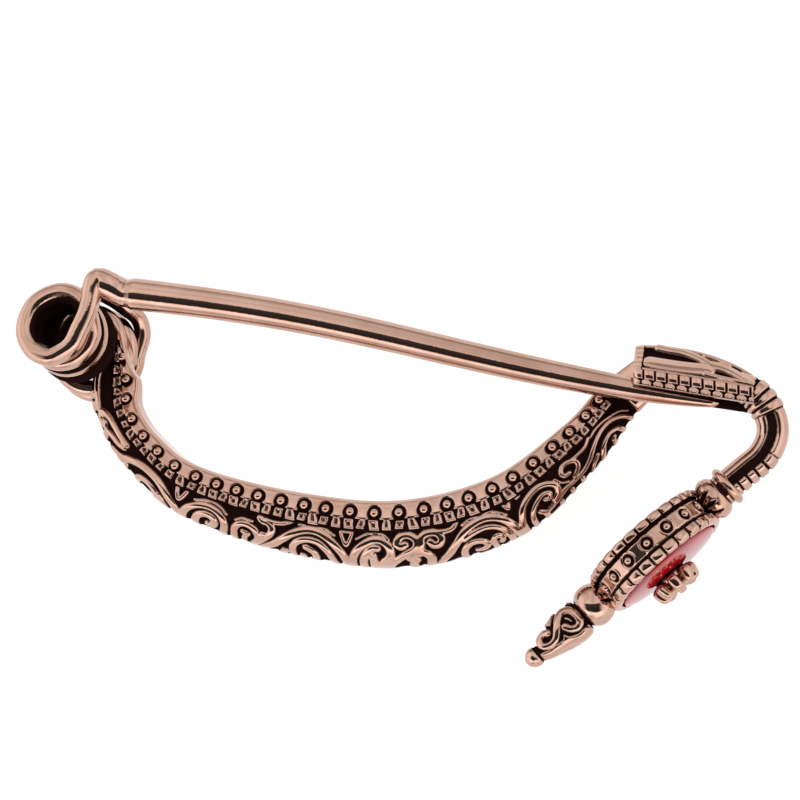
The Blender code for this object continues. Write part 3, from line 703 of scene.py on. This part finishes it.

# The patina stays where the wire faces the coil's axis. Between its turns the dark is partly patina and
# partly painted shade, and on the turn behind the neck it is painted shade.
outward = (wire_places - wire_line[:, None]) / np.maximum(wire_radii[:, None, None], 0.01)
to_axis = unit(np.array((-0.4, 0)) - wire_line[:, None, :2])
facing = (outward[..., :2] * to_axis).sum(axis=2)
height = np.broadcast_to(wire_line[:, None, 2], facing.shape)
inside = slope(-0.2, 0.5, facing) * (1 - slope(5.0, 5.9, height))
innermost = slope(0.55, 0.8, facing) * (1 - slope(5.9, 6.8, height))
# Partly patina, partly painted shade: where the wire faces its neighbouring turns
between = slope(0.5, 0.72, np.abs(outward[..., 2])) * (1 - slope(4.0, 4.8, height))
# Painted shade: the whole turn behind the neck is painted dark, as the shade it lies in
behind = 1 - slope(1.3, 1.7, height)
seam_patina_and_shade = np.maximum(between, behind) * slope(0.1, 0.4, height)
wire_patina_and_shade = np.maximum(seam_patina_and_shade, np.maximum(inside, innermost))
wire_patina_and_shade[len(coil_line) - POLISHED_ROWS:] = 0
wire = carved_skin("spring_and_pin", wire_places, np.zeros(facing.shape), wire_patina_and_shade)
wire.data.materials.append(BRONZE)
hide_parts("spring", "pin")
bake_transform(wire)

# The catch is cast with the bow: a gutter, open below, that hides the pin's point. A row of squares and a
# row of beads are chased on its lip, and its broad sloping top carries raised leaves beside a rim of squares.
CATCH_LENGTH = 12.2
CATCH_BEYOND = 3.7
CATCH_WALL = 1.0
CATCH_CREST = 4.7
CREST_FALL = 0.28
CREST_BULGE = 0.75
CATCH_HEM = 0.3
LIP_RISE = 0.2
LIP_WIDTH = 1.6
PIN_PLAY = 0.35
CATCH_ROWS = 190
# How finely each side of the catch's outline is divided, from the foot of its back wall round to its crest
CATCH_COLUMNS = (4, 8, 4, 8, 4, 8, 10, 30, 70, 8, 6, 14)
GUTTER_SIDES = 6
LIP_SIDE = 7
TOP_SIDE = 8
TOP_WIDTH = 4.8
LIP_ROUND = 1.6
NO_ORNAMENT = -9
BEAD_STEP = 1.19
BEAD_LINE = 0.36
BEAD_HALF = 0.56
BEAD_SHIFT = 0.3
SQUARE_LINE = 1.2
SQUARE_HALF = 0.54
SQUARE_RISE = 0.16
LIP_DEPTH = 0.24
RIM_END = 1.0
RIM_STEP = 0.93
LEAVES = (
    # half the strand's width, then its points: mm along the catch, and mm up its top from the lip's edge
    (1.2, (1.9, 1.7), (3.2, 1.6), (4.8, 1.6), (6.2, 1.75), (7.4, 2)),
    (0.95, (6.6, 1.9), (7.3, 2.2)),
    (0.42, (7.4, 1.1), (8.6, 0.9), (9.6, 0.85), (10.8, 0.95), (12.2, 1.1)),
    (0.95, (8, 3), (9, 3.1), (10, 2.9), (11, 2.4), (12, 1.7)),
    (0.62, (2.5, 4.5), (3.6, 4.25), (4.8, 4.2), (5.8, 3.95), (6.8, 3.6), (7.6, 3.2)),
    (0.4, (7.2, 4.35), (8.4, 4.3), (9.6, 4)),
)
LEAF_DEPTH = 0.5
LEAF_RISE = 0.22


def catch_ring(share):
    """The corners of the catch's outline at a share of its length."""
    middle = pin_spot(catch_begin + CATCH_LENGTH / PIN_LENGTH * share)
    bulge = CREST_BULGE * math.sqrt(abs(math.sin(math.pi * share)))
    crest = CATCH_CREST * (1 - CREST_FALL * share ** 3) + bulge
    near = 1 - min(share * CATCH_LENGTH / LIP_ROUND, 1)
    lip = middle[2] + slot + CATCH_WALL - 0.9 * (1 - math.sqrt(1 - near ** 2))
    wall = back + CATCH_WALL
    inside = lip - CATCH_WALL
    outline = ((back, -CATCH_HEM), (wall, -CATCH_HEM), (wall, 0.7 * slot), (wall + 0.4 * slot, slot),
               (inside - 0.4 * slot, slot), (inside, 0.7 * slot), (inside, LIP_RISE), (lip, LIP_RISE),
               (lip, LIP_RISE + LIP_WIDTH), (wall + 0.2 * slot, 0.97 * crest),
               (back + 0.7 * CATCH_WALL, crest), (back, 0.9 * crest))
    return np.array([(middle[0], middle[1] + rise, height) for height, rise in outline])


def softened(places, times):
    """Closed rings with their corners rounded."""
    for _ in range(times):
        ring = places[:, :-1]
        ring = 0.5 * ring + 0.25 * (np.roll(ring, 1, axis=1) + np.roll(ring, -1, axis=1))
        places = np.concatenate((ring, ring[:, :1]), axis=1)
    return places


def squares(along, across, step, long, wide):
    """Rounded squares in a row at even steps: 1 on each square and 0 between them."""
    away = np.maximum(np.abs((along / step) % 1 - 0.5) * step / long, np.abs(across) / wide)
    return 1 - slope(0.84, 1.06, away)


def pillow(along, across, step, wide):
    """How far each spot stands up on the pillows of such a row."""
    return np.clip(1 - (((along / step) % 1 - 0.5) * 2) ** 2 - (across / wide) ** 2, 0, 1)


def catch_relief(along, around):
    """The height of the catch's ornament in mm and how hollow it is, counted from the lip's lower edge."""
    up = around - LIP_WIDTH
    row = squares(along, around - SQUARE_LINE, BEAD_STEP, SQUARE_HALF, SQUARE_HALF)
    beads = np.clip(1 - ((((along + BEAD_SHIFT) / BEAD_STEP) % 1 - 0.5) * BEAD_STEP / BEAD_HALF) ** 2
                    - ((around - BEAD_LINE) / BEAD_LINE) ** 2, 0, 1) ** 0.5
    end = squares(up + 0.4, along - RIM_END / 2 + 0.02, RIM_STEP, 0.42, 0.5) * slope(0.1, 0.2, up)
    leaves = strand_cover(along, up, LEAVES)
    field = slope(0.45, 0.55, up) * slope(RIM_END + 0.02, RIM_END + 0.14, along)
    lip = slope(-0.4, -0.3, around) * (1 - slope(0.2, 0.3, up))
    rim_end = slope(0.2, 0.3, up) * (1 - slope(RIM_END, RIM_END + 0.1, along))
    raised = np.maximum(1 - np.maximum(field, np.maximum(lip, rim_end)),
                        np.maximum(np.maximum(row, np.minimum(beads * 1.4, 1)) * lip,
                                   np.maximum(leaves * field, end * rim_end)))
    hollow = (1 - raised) * slope(0, 0.15, around)
    crown = (leaves * field * LEAF_RISE
             + row * lip * pillow(along, around - SQUARE_LINE, BEAD_STEP, 0.62) * SQUARE_RISE)
    return crown - hollow * np.where(field > 0.5, LEAF_DEPTH, LIP_DEPTH), hollow


catch_begin = 1 - (CATCH_LENGTH - CATCH_BEYOND) / PIN_LENGTH
slot = pin_radius(catch_begin) + PIN_PLAY
back = pin_spot(catch_begin)[2] - slot - CATCH_WALL
catch_rings = np.array([catch_ring(share) for share in np.linspace(0, 1, CATCH_ROWS)])
catch_places = []
catch_around = []
for side, count in enumerate(CATCH_COLUMNS):
    start, width = {LIP_SIDE: (0, LIP_WIDTH), TOP_SIDE: (LIP_WIDTH, TOP_WIDTH)}.get(side, (NO_ORNAMENT, 0))
    for share in np.arange(count) / count:
        catch_places.append(catch_rings[:, side] * (1 - share)
                            + catch_rings[:, (side + 1) % len(CATCH_COLUMNS)] * share)
        catch_around.append(start + width * share)
catch_places = softened(np.stack([*catch_places, catch_places[0]], axis=1), 3)
catch_around.append(NO_ORNAMENT)
catch_grid = np.meshgrid(catch_around, np.linspace(0, CATCH_LENGTH, CATCH_ROWS))[::-1]
catch_height, catch_patina_and_shade = catch_relief(*catch_grid)
# Painted shade: the gutter's inside is given the patina's dark, as the shadow inside the catch
catch_patina_and_shade[:, 1:sum(CATCH_COLUMNS[:GUTTER_SIDES]) - 1] = 0.9
catch = carved_skin("catch", catch_places, catch_height, catch_patina_and_shade)
dress(catch, BRONZE, "bronze", "bow")

# The foot's arm turns back from the catch. Three ridges bind its start; then a smooth rib and a rib that
# ends in beads run along it, with a dark channel between them.
FOOT_DROP = 8.45
FOOT_LEAN = (0.76, 0.65)
ARM_RADIUS = 1.62
ARM_LENGTH = 24
ARM_STEP = 0.12
ARM_SIDES = 72
# The arm's points in shares of the drop, first from the pin's tip and then from the start of the foot
ARM_HEAD = ((0.2, 0.225, -0.12), (0.425, 0.105, -0.13), (0.58, -0.12, -0.16))
ARM_TAIL = ((0.59, 0.64, 0), (0.475, 0.39, 0), (0.26, 0.207, 0), (0, 0, 0))
RIDGES = (2.2, 3.1, 4.0)
RIDGE_RISE = 0.12
BOUND_END = 4.3
CHANNEL_TURN = 88
CHANNEL_WIDTH = 21
CHANNEL_DEPTH = 0.5
ARM_BEADS = (9.0, 10.05, 11.1, 12.15, 13.2, 14.25)
BEAD_CUT = 0.28

foot_start = np.array((pin_spot(1)[0] + 0.02 * FOOT_DROP, pin_spot(1)[1] - FOOT_DROP, 0))
foot_along = -np.array((*FOOT_LEAN, 0)) / math.hypot(*FOOT_LEAN)
foot_front = np.array((-foot_along[1], foot_along[0], 0))
upward = np.array((0, 0, 1.0))


def arm_relief(along, angle):
    """The height of the arm's ribs in mm and how hollow it is: the angle is 0 outside, and right on top."""
    turn = np.abs(np.degrees(np.arctan2(np.sin(angle), np.cos(angle))))
    channel = np.exp(-((turn - CHANNEL_TURN) / CHANNEL_WIDTH) ** 4)
    channel *= slope(BOUND_END - 0.1, BOUND_END + 0.5, along)
    between = slope(0.75, 1.05, np.minimum.reduce([np.abs(along - place) for place in ARM_BEADS]) / 0.46)
    beads = slope(ARM_BEADS[0] - 0.6, ARM_BEADS[0] - 0.4, along) * between * slope(-75, -60, -turn)
    ridge = 1 - slope(0.5, 1.0, np.minimum.reduce([np.abs(along - place) for place in RIDGES]) / 0.45)
    bound = (1 - slope(BOUND_END, BOUND_END + 0.3, along)) * slope(1.4, 1.7, along)
    hollow = np.clip(channel + beads + bound * (1 - ridge), 0, 1)
    return bound * (2 * ridge - 1) * RIDGE_RISE - channel * CHANNEL_DEPTH - beads * BEAD_CUT, hollow


arm_points = [np.array(pin_spot(1)) + np.array(spot) * FOOT_DROP for spot in ARM_HEAD]
arm_points += [foot_start + np.array(spot) * FOOT_DROP for spot in ARM_TAIL]
arm_points.append(foot_start + foot_along * 1.5)
arm_line, arm_along = flowing(arm_points, round(ARM_LENGTH / ARM_STEP))
arm_tangent = unit(np.gradient(arm_line, axis=0))
arm_outward = unit(np.column_stack((-arm_tangent[:, 1], arm_tangent[:, 0], np.zeros(len(arm_line)))))
arm_upward = np.cross(arm_tangent, arm_outward)
arm_upward *= np.sign(arm_upward[:, 2:])
arm_angle = np.linspace(0, math.tau, ARM_SIDES + 1)
arm_places = (arm_line[:, None] + ARM_RADIUS * (arm_outward[:, None] * np.cos(arm_angle)[None, :, None]
                                                + arm_upward[:, None] * np.sin(arm_angle)[None, :, None]))
arm = carved_skin("foot_arm", arm_places, *arm_relief(*np.meshgrid(arm_angle, arm_along)[::-1]))
dress(arm, BRONZE, "bronze", "bow")

# The arm ends in a ring and a bulb with leaves cut round it, turned and chased in one.
COLLARS_LENGTH = 4.5
COLLAR_RADIUS = 2.05
COLLAR_PROFILE = ((-0.24, 0), (-0.24, 0.6), (-0.22, 0.84), (-0.19, 0.96), (-0.15, 1.03), (-0.11, 1.05),
                  (-0.07, 1.03), (-0.03, 0.96), (-0.01, 0.86), (0.02, 0.78), (0.06, 0.77), (0.09, 0.84),
                  (0.12, 0.94), (0.17, 1.02), (0.22, 1.06), (0.28, 1.09), (0.34, 1.1), (0.4, 1.07),
                  (0.46, 0.99), (0.52, 0.87), (0.57, 0.74), (0.62, 0.64), (0.73, 0.55), (0.73, 0))
COLLAR_STEP = 0.06
COLLAR_SIDES = 176
LEAF_CUTS = 11
CUT_DEPTH = 0.3
GROOVE_PLACE = 0.2


def traced(profile, step):
    """A profile's (place, radius) pairs at even steps along its straight sides."""
    line = np.array(profile, float)
    along = travelled(np.hypot(*np.diff(line, axis=0).T))
    even = np.linspace(0, along[-1], max(2, round(along[-1] / step)))
    return np.interp(even, along, line[:, 0]), np.interp(even, along, line[:, 1])


def turned(profile, step, sides, middle, axis, side):
    """The spots of a turned form, and the place along the axis, radius and angle (0 on top) of each."""
    place, radius = traced(profile, step)
    angle = np.linspace(0, math.tau, sides + 1)
    spoke = upward * np.cos(angle)[:, None] + side * np.sin(angle)[:, None]
    places = middle + place[:, None, None] * axis + radius[:, None, None] * spoke[None]
    return places, *np.broadcast_arrays(place[:, None], radius[:, None], angle)


collar_places, collar_place, _, collar_angle = turned(
    [(place * COLLARS_LENGTH, share * COLLAR_RADIUS) for place, share in COLLAR_PROFILE], COLLAR_STEP,
    COLLAR_SIDES, foot_start, foot_along, foot_front)
cut = np.abs((collar_angle * LEAF_CUTS / math.tau) % 1 - 0.5) * 2
leaf_cut = 1 - slope(0.26, 0.62, cut + (1 - slope(0.6, 2.2, collar_place)) * 0.7)
leaf_cut = np.maximum(leaf_cut * slope(0.5, 0.7, collar_place), slope(2.55, 2.75, collar_place))
groove = 1 - slope(0.1, 0.24, np.abs(collar_place - GROOVE_PLACE))
collars = carved_skin("foot_collars", collar_places, -leaf_cut * CUT_DEPTH, np.maximum(leaf_cut, groove))
dress(collars, BRONZE, "bronze", "bow")

# The foot's setting is a drum that stands on edge. Two rims of squares hold a band of small balls, each in
# a ring, and its face has a seat for the stone.
SETTING_RADIUS = 6.9
SETTING_DEPTH = 4.3
SETTING_LIP = 0.75
SEAT_DEPTH = 0.7
RIM_SQUARES = 27
SQUARE_SHARE = 0.45
RING_DOTS = 16
DOT_SIZE = 0.4
DOT_SINK = 0.02
RING_RADIUS = 0.8
RING_RISE = 0.1
MOAT_DEPTH = 0.2
GAP_DEPTH = 0.28
BACK_RIM = 0.95
FRONT_RIM = 1.12
SETTING_STEP = 0.115
SETTING_SIDES = 390
FLAT_DEPTH = 0.1

setting_middle = foot_start + foot_along * (SETTING_RADIUS + 0.52 * COLLARS_LENGTH)
half = SETTING_DEPTH / 2
rim = SETTING_RADIUS
waist = rim - 0.3
seat = rim - SETTING_LIP
SETTING_PROFILE = ((-half - 0.3, 0), (-half - 0.25, 2.5), (-half - 0.1, 0.62 * rim), (-half, 0.9 * rim),
                   (-half + 0.12, rim - 0.12), (-half + 0.3, rim), (-half + BACK_RIM - 0.1, rim),
                   (-half + BACK_RIM + 0.05, waist), (-half + BACK_RIM + 0.2, waist),
                   (half - FRONT_RIM - 0.2, waist), (half - FRONT_RIM - 0.05, waist),
                   (half - FRONT_RIM + 0.1, rim), (half - 0.35, rim), (half - 0.08, rim - 0.14),
                   (half, rim - 0.4), (half, seat), (half - SEAT_DEPTH, seat), (half - SEAT_DEPTH, 0))


def setting_relief(place, radius, angle):
    """The height of the drum's ornament in mm and how hollow it is."""
    around = angle * rim
    step = math.tau * rim / RIM_SQUARES
    outside = slope(seat - 0.1, seat + 0.1, radius)
    front_middle = half - FRONT_RIM / 2
    back_middle = BACK_RIM / 2 - half
    rims = np.maximum(slope(half - FRONT_RIM - 0.3, half - FRONT_RIM - 0.22, place),
                      slope(half - BACK_RIM - 0.3, half - BACK_RIM - 0.22, -place)) * outside
    long = SQUARE_SHARE * step
    front = squares(around + step / 2, place - front_middle - 0.12, step, long, FRONT_RIM / 2 + 0.14)
    behind = squares(around, place - back_middle + 0.08, step, long, BACK_RIM / 2 + 0.1)
    swell = (pillow(around + step / 2, place - front_middle, step, 0.62)
             + pillow(around, place - back_middle, step, 0.55)) * rims
    spread = math.tau * rim / RING_DOTS
    away = np.hypot(((around / spread + 0.5) % 1 - 0.5) * spread, place + (FRONT_RIM - BACK_RIM) / 2)
    moat = slope(0.2, 0.3, away) * (1 - slope(0.6, 0.7, away)) * (1 - rims) * outside
    ring = np.exp(-((away - RING_RADIUS) / 0.1) ** 2) * (1 - rims) * outside
    gaps = rims * (1 - np.maximum(front, behind))
    return (ring + swell) * RING_RISE - moat * MOAT_DEPTH - gaps * GAP_DEPTH, np.maximum(gaps, moat)


def press_on_table(piece):
    """Flatten a piece where it lies on the table."""
    for vert in piece.data.vertices:
        vert.co.z = max(vert.co.z, 0)


setting_places, *setting_spots = turned(SETTING_PROFILE, SETTING_STEP, SETTING_SIDES, setting_middle,
                                        foot_front, -foot_along)
setting_places[..., 2] = np.maximum(setting_places[..., 2], FLAT_DEPTH - rim)
setting = carved_skin("setting_drum", setting_places, *setting_relief(*setting_spots))
press_on_table(setting)
dress(setting, BRONZE, "bronze", "bow")

dots = bmesh.new()
dots_middle = setting_middle - foot_front * (FRONT_RIM - BACK_RIM) / 2
for index in range(RING_DOTS):
    angle = math.tau * index / RING_DOTS
    spoke = upward * math.cos(angle) - foot_along * math.sin(angle)
    add_ball(dots, dots_middle + (waist - DOT_SINK) * spoke, DOT_SIZE)
dots = finish_skin("setting_balls", dots)
press_on_table(dots)
dress(dots, BRONZE, "bronze", "bow")

# Below the drum come a smooth bulb and the finial, a tapering knob with an S of raised wire chased on each
# side and a small bud at its point.
BULB_RADIUS = 2.25
FINIAL_LENGTH = 7.6
FINIAL_RADIUS = 2.15
FINIAL_CURVE = ((0, 0.6), (0.02, 0.82), (0.06, 0.92), (0.12, 0.98), (0.2, 1), (0.3, 0.97), (0.42, 0.88),
                (0.55, 0.75), (0.68, 0.6), (0.77, 0.46), (0.79, 0.38), (0.81, 0.45), (0.85, 0.5), (0.9, 0.46),
                (0.95, 0.35), (0.985, 0.2), (1, 0))
FINIAL_STEP = 0.075
FINIAL_SIDES = 150
BUD_PLACE = 0.79
FINIAL_SCROLL = (
    # half the strand's width, then its points: mm from the finial's root, and mm across it as seen from above
    (0.46, (2.1, 0), (1.75, 0.62), (1.1, 0.9), (0.5, 0.55), (0.42, -0.35), (0.75, -1.15), (1.5, -1.5),
     (2.2, -1.15), (2.9, -0.4), (3.7, 0.3), (4.6, 0.32), (5.2, -0.25), (5.05, -0.95), (4.35, -1.15),
     (3.9, -0.8)),
    (0.42, (0.6, 1.75), (1.6, 1.75), (2.6, 1.35), (3.6, 1.15), (4.8, 1), (5.6, 0.7)),
)
SCROLL_HALO = 1.75
SCROLL_CUT = 0.34
SCROLL_RISE = 0.1

bulb_edge = rim - 1.2
bulb_middle = bulb_edge + 1.0 + 0.72 * BULB_RADIUS
finial_root = bulb_middle + 0.6 * BULB_RADIUS
finial_profile = [(bulb_edge, 0), (bulb_edge, 0.75 * BULB_RADIUS)]
for turn in range(34, 160, 6):
    stretch = (0.95 if turn < 90 else 0.72) * BULB_RADIUS
    finial_profile.append((bulb_middle - stretch * math.cos(math.radians(turn)),
                           BULB_RADIUS * math.sin(math.radians(turn)) ** 0.75))
finial_profile += [(finial_root + FINIAL_LENGTH * place, FINIAL_RADIUS * share)
                   for place, share in FINIAL_CURVE]
finial_places, finial_place, finial_girth, finial_angle = turned(
    finial_profile, FINIAL_STEP, FINIAL_SIDES, setting_middle, foot_along, foot_front)
down = finial_place - finial_root
across = finial_girth * np.sin(finial_angle)
scroll = strand_cover(down, across, FINIAL_SCROLL)
halo = [(half_width * SCROLL_HALO, *line) for half_width, *line in FINIAL_SCROLL[:1]]
sunk = slope(0.1, 0.4, strand_cover(down, across, halo)) * slope(0.05, 0.2, down) * (1 - scroll)
groove = 1 - slope(0.08, 0.25, np.minimum(np.abs(down - BUD_PLACE * FINIAL_LENGTH), np.abs(down + 0.02)))
finial = carved_skin("finial", finial_places, SCROLL_RISE * scroll - SCROLL_CUT * sunk,
                     np.maximum(sunk, groove))
dress(finial, BRONZE, "bronze", "bow")

# The stone is a low dome of deep red glass, polished, held in the seat of the drum.
STONE_RISE = 0.6
STONE_GAP = 0.3
STONE_STEP = 0.12
STONE_SIDES = 160
BRIGHT_RED = (0.42, 0.006, 0.012)
DEEP_RED = (0.3, 0.004, 0.01)


def red_glass():
    """Deep red glass under a hard polish."""
    made, start, sockets = new_material("red glass")
    cloud = start.node("ShaderNodeTexCoord")["Object"].noise(scale=420.0, detail=3.0)
    feed(sockets["Base Color"], cloud.clamp(0.35, 0.7).mix(BRIGHT_RED, DEEP_RED))
    feed(sockets["Roughness"], 0.05)
    feed(sockets["IOR"], 1.75)
    return made


stone_radius = seat - STONE_GAP
stone_base = half - SEAT_DEPTH + STONE_GAP
stone_wall = stone_base + SEAT_DEPTH - STONE_GAP + 0.1
stone_profile = [(stone_base, 0), (stone_base, stone_radius)]
stone_profile += [(stone_wall + STONE_RISE * share, stone_radius * max(0, 1 - share ** 1.6) ** 0.4)
                  for share in np.sin(np.radians(np.linspace(0, 90, 40)))]
stone_places = turned(stone_profile, STONE_STEP, STONE_SIDES, setting_middle, foot_front, -foot_along)[0]
smooth = np.zeros(stone_places.shape[:2])
stone = carved_skin("red_stone", stone_places, smooth, smooth)
dress(stone, red_glass(), "red_stone", "cabochon")

# The rosette is cast apart and pinned on the stone: eight petals like small shells about a heart, on a round
# base that reaches down to the stone.
PETALS = 8
PETAL_SPREAD = 1.78
PETAL_LIFT = 0.72
PETAL_SIZE = (0.82, 0.72 * 0.82, 0.92)
PETAL_TILT = math.radians(-14)
HEART_RADIUS = 0.8
HEART_FLATNESS = 0.86
BASE_RADIUS = 1.75
BASE_DEPTH = 0.68
ROSETTE_SHIFT = 0.55
rosette_rise = half + 0.1 + STONE_RISE + STONE_GAP
rosette_middle = setting_middle + foot_front * rosette_rise + foot_along * ROSETTE_SHIFT
rosette_turn = Matrix((-foot_along, upward, foot_front)).transposed().to_4x4()
seated = Matrix.Translation(AXIS + Vector(rosette_middle) * MM) @ rosette_turn @ Matrix.Scale(MM, 4)
rosette = bmesh.new()
bmesh.ops.create_cone(rosette, cap_ends=True, cap_tris=False, segments=48, radius1=BASE_RADIUS,
                      radius2=BASE_RADIUS, depth=BASE_DEPTH, matrix=seated)
for index in range(PETALS):
    petal = bmesh.ops.create_icosphere(rosette, subdivisions=4, radius=1)["verts"]
    for vert in petal:
        vert.co /= (abs(vert.co.x) ** 3 + abs(vert.co.y) ** 3 + abs(vert.co.z) ** 3) ** (1 / 3)
    spin = seated @ Matrix.Rotation(math.tau * index / PETALS, 4, "Z")
    stand = Matrix.Translation((PETAL_SPREAD, 0, PETAL_LIFT)) @ Matrix.Rotation(PETAL_TILT, 4, "Y")
    bmesh.ops.transform(rosette, verts=petal, matrix=spin @ stand @ Matrix.Diagonal((*PETAL_SIZE, 1)))
heart = seated @ Matrix.Translation((0, 0, 1)) @ Matrix.Diagonal((1, 1, HEART_FLATNESS, 1))
bmesh.ops.create_icosphere(rosette, subdivisions=4, radius=HEART_RADIUS, matrix=heart)
rosette_shade_layer = rosette.verts.layers.float.new("hollow")
# Painted shade: the round base below the petals is painted dark, as the shade under them
for vert in rosette.verts:
    vert[rosette_shade_layer] = 0.7 * ((seated.inverted() @ vert.co).z < 0.05)
rosette = finish_skin("rosette_flower", rosette)
dress(rosette, BRONZE, "bronze", "rosette")
